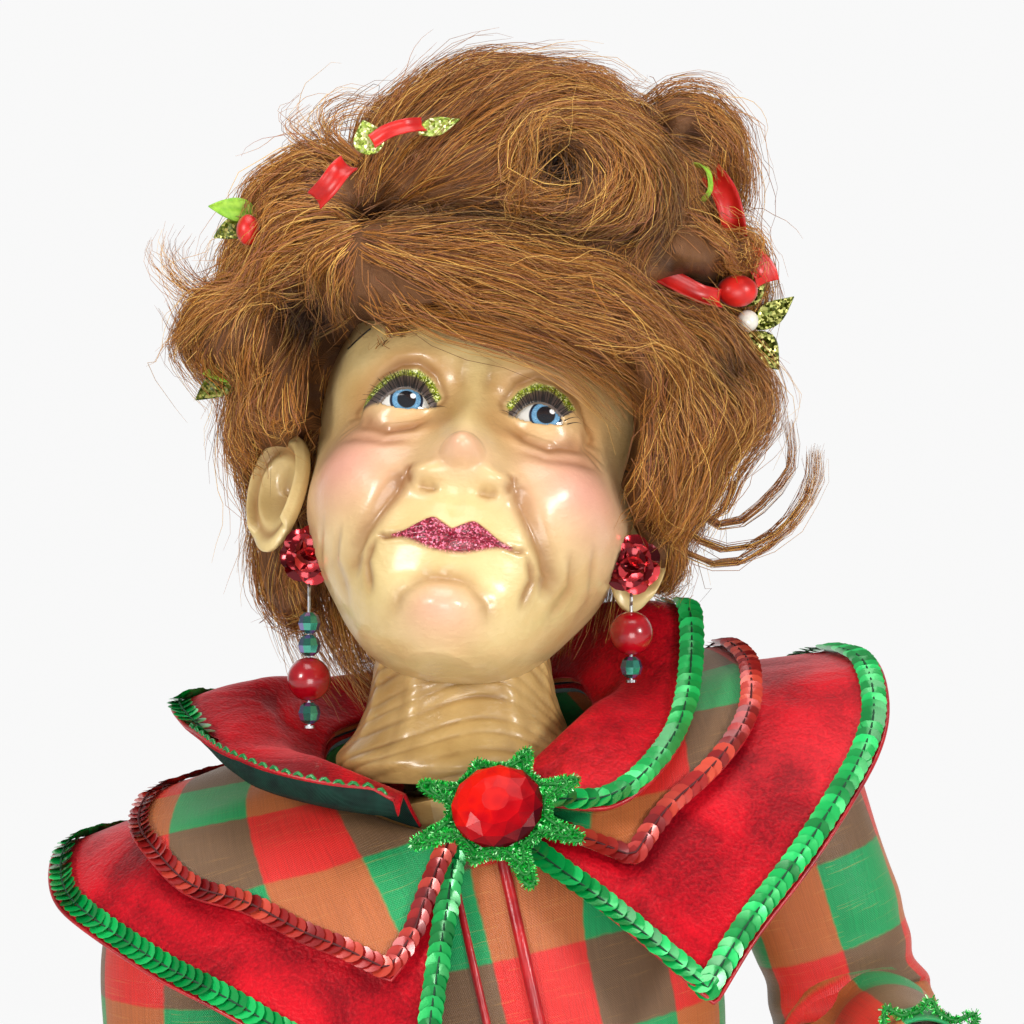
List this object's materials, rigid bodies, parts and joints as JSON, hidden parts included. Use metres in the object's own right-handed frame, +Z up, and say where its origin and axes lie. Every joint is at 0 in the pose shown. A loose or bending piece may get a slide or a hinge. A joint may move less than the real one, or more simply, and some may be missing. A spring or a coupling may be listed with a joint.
{
  "type": "standing christmas doll",
  "caption": "Standing cloth Christmas doll of an elderly lady with a resin head on a swivel neck, curly updo, checked taffeta dress with layered capes, beaded earrings and posable arms.",
  "frame": {"origin": "centre of the wooden base's underside", "axes": "+Z up, the doll faces -Y, +X is the doll's own left"},
  "size_m": [0.2601, 0.2212, 0.6433],
  "materials": {
    "wood": "satin stained",
    "steel": "bright wire",
    "boot": "velvet",
    "muslin": "plain weave",
    "plaid": "checked taffeta, soft sheen",
    "velvet": "satin-faced velvet",
    "piping": "satin cord",
    "resin": "hand-painted, glossy",
    "eye": "glossy with painted iris",
    "hair": "loose curled fibre",
    "leaf": "glitter-edged",
    "ribbon": "satin",
    "foil": "metallic foil",
    "pearl": "pearlised",
    "facet": "iridescent facets",
    "glitter": "tinsel glitter",
    "gem": "faceted, clear"
  },
  "bodies": {
    "figure": {"base_disc": "wood", "stand_rod": "steel", "boot_left": "boot", "boot_right": "boot", "leg_left": "muslin", "leg_right": "muslin", "pelvis_stuffing": "muslin", "torso_stuffing": "muslin", "shoulder_plate": "resin", "bodice": "plaid", "front_piping": "piping", "waistband": "velvet", "skirt": "plaid", "hem_band": "velvet", "lower_cape": "velvet", "middle_cape": "plaid", "upper_collar": "velvet", "brooch_star": "glitter", "brooch_gem": "gem"},
    "head_unit": {"neck": "resin", "head": "resin", "eye_left": "eye", "eye_right": "eye", "wig": "hair", "sprig_left_low": "leaf", "sprig_right_high": "leaf", "sprig_right_low": "leaf", "sprig_top": "leaf", "ribbon_left_high": "ribbon", "ribbon_right_high": "ribbon", "ribbon_left_low": "ribbon", "earring_flower_left": "foil", "earring_flower_right": "foil"},
    "left_earring": {"earring_pin_left": "steel", "earring_pearl_left": "pearl", "earring_tip_left": "facet"},
    "right_earring": {"earring_pin_right": "steel", "earring_bead_1_right": "facet", "earring_bead_2_right": "facet", "earring_pearl_right": "pearl", "earring_tip_right": "facet"},
    "left_upper_arm": {"upper_sleeve_left": "plaid", "upper_arm_left": "muslin", "arm_wire_left": "steel"},
    "left_forearm": {"forearm_sleeve_left": "plaid", "forearm_left": "muslin", "forearm_wire_left": "steel", "cuff_star_left": "glitter"},
    "left_hand": {"glove_left": "velvet"},
    "right_upper_arm": {"upper_sleeve_right": "plaid", "upper_arm_right": "muslin", "arm_wire_right": "steel"},
    "right_forearm": {"forearm_sleeve_right": "plaid", "forearm_right": "muslin", "forearm_wire_right": "steel", "cuff_star_right": "glitter"},
    "right_hand": {"glove_right": "velvet"}
  },
  "joints": [
    {"name": "neck_turn", "type": "hinge", "parent": "figure", "child": "head_unit", "pos_m": [-0.02237, 0.004, 0.44554], "axis": [0, 0, 1], "range_deg": [-12, 5]},
    {"name": "left_shoulder_swing", "type": "hinge", "parent": "figure", "child": "left_upper_arm", "pos_m": [0.06473, 0.004, 0.43881], "axis": [0.9744, 0, 0.225], "range_deg": [-20, 15]},
    {"name": "left_elbow_bend", "type": "hinge", "parent": "left_upper_arm", "child": "left_forearm", "pos_m": [0.0852, 0.01, 0.37682], "axis": [-0.9271, -0.188, -0.3243], "range_deg": [-45, 6]},
    {"name": "left_wrist_turn", "type": "hinge", "parent": "left_forearm", "child": "left_hand", "pos_m": [0.0981, -0.04639, 0.37264], "axis": [0.2224, -0.9723, -0.0721], "range_deg": [-30, 30]},
    {"name": "right_shoulder_swing", "type": "hinge", "parent": "figure", "child": "right_upper_arm", "pos_m": [-0.09702, 0.004, 0.40146], "axis": [0.9744, 0, 0.225], "range_deg": [-20, 15]},
    {"name": "right_elbow_bend", "type": "hinge", "parent": "right_upper_arm", "child": "right_forearm", "pos_m": [-0.09896, 0.008, 0.33431], "axis": [-0.9947, 0.0971, 0.0346], "range_deg": [-45, 6]},
    {"name": "right_wrist_turn", "type": "hinge", "parent": "right_forearm", "child": "right_hand", "pos_m": [-0.10464, -0.04971, 0.33299], "axis": [-0.0979, -0.9949, -0.0226], "range_deg": [-30, 30]},
    {"name": "left_earring_swing", "type": "hinge", "parent": "head_unit", "child": "left_earring", "pos_m": [0.023, -0.008, 0.4945], "axis": [1, 0, 0], "range_deg": [-12, 12]},
    {"name": "right_earring_swing", "type": "hinge", "parent": "head_unit", "child": "right_earring", "pos_m": [-0.0635, -0.008, 0.497], "axis": [1, 0, 0], "range_deg": [-12, 12]}
  ]
}
